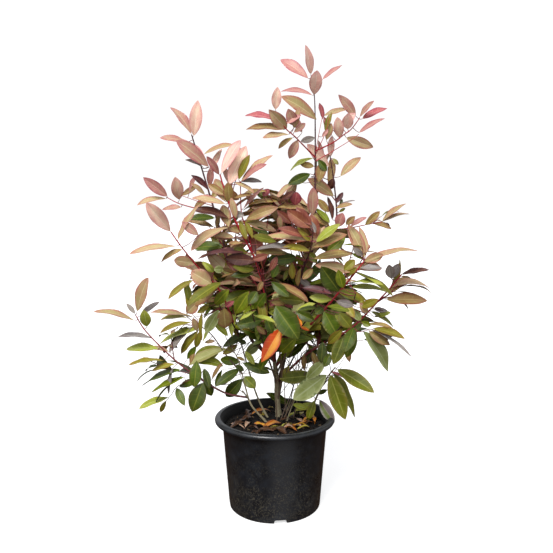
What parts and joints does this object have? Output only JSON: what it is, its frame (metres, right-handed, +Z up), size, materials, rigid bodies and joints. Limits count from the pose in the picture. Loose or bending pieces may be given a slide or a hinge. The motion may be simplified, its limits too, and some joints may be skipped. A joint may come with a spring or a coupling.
{
  "type": "potted photinia",
  "caption": "Potted photinia: a young evergreen shrub with slender stems, open tufts of rose, bronze and green leaves, and a round black nursery pot with a rolled lip.",
  "frame": {"origin": "centre of the pot's flat underside, where the pot stands", "axes": "+Z up along the trunk, -Y towards the plant's front, +X to the right seen from the front"},
  "size_m": [0.8381, 0.7268, 1.1301],
  "materials": {
    "pot_plastic": "satin",
    "potting_mix": "matte",
    "bark": "matte",
    "red_bark": "satin",
    "foliage_rose": "satin",
    "foliage_bronze": "satin",
    "foliage_olive": "satin",
    "foliage_green": "satin"
  },
  "bodies": {
    "root": {"pot": "pot_plastic", "potting_mix": "potting_mix", "trunk": "bark", "left_stem": "bark", "inner_left_stem": "bark", "right_stem": "bark", "leader": "bark", "left_leader": "bark", "centre_bough": "red_bark", "crest_left_branch": "red_bark", "crest_right_branch": "red_bark", "second_leader": "bark", "right_upper_branch": "red_bark", "right_bough": "red_bark", "right_outer_bough": "red_bark", "left_bough": "red_bark", "far_left_bough": "red_bark", "left_mid_branch": "bark", "left_upper_branch": "red_bark", "front_left_bough": "bark", "front_right_bough": "bark", "back_bough": "bark", "back_left_bough": "bark", "back_right_bough": "bark", "back_upper_branch": "bark", "crest_foliage": "foliage_rose", "crest_left_foliage": "foliage_rose", "crest_right_foliage": "foliage_rose", "second_leader_foliage": "foliage_rose", "leader_foliage": "foliage_bronze", "left_leader_foliage": "foliage_rose", "tuft_foliage": "foliage_rose", "left_upper_foliage": "foliage_rose", "left_foliage": "foliage_rose", "left_leader_lower_foliage": "foliage_bronze", "left_lower_foliage": "foliage_bronze", "far_left_foliage": "foliage_olive", "far_left_lower_foliage": "foliage_green", "left_mid_foliage": "foliage_olive", "low_left_foliage": "foliage_green", "low_left_inner_foliage": "foliage_green", "centre_front_foliage": "foliage_green", "centre_left_foliage": "foliage_green", "centre_foliage": "foliage_bronze", "centre_upper_foliage": "foliage_bronze", "centre_right_foliage": "foliage_bronze", "mid_right_foliage": "foliage_olive", "right_upper_foliage": "foliage_bronze", "right_foliage": "foliage_bronze", "right_outer_foliage": "foliage_olive", "right_drooping_foliage": "foliage_green", "right_low_foliage": "foliage_green", "low_right_inner_foliage": "foliage_green", "low_right_foliage": "foliage_green", "front_left_foliage": "foliage_olive", "front_right_foliage": "foliage_olive", "back_foliage": "foliage_green", "back_left_foliage": "foliage_olive", "back_right_foliage": "foliage_green", "back_upper_foliage": "foliage_bronze"}
  },
  "joints": []
}
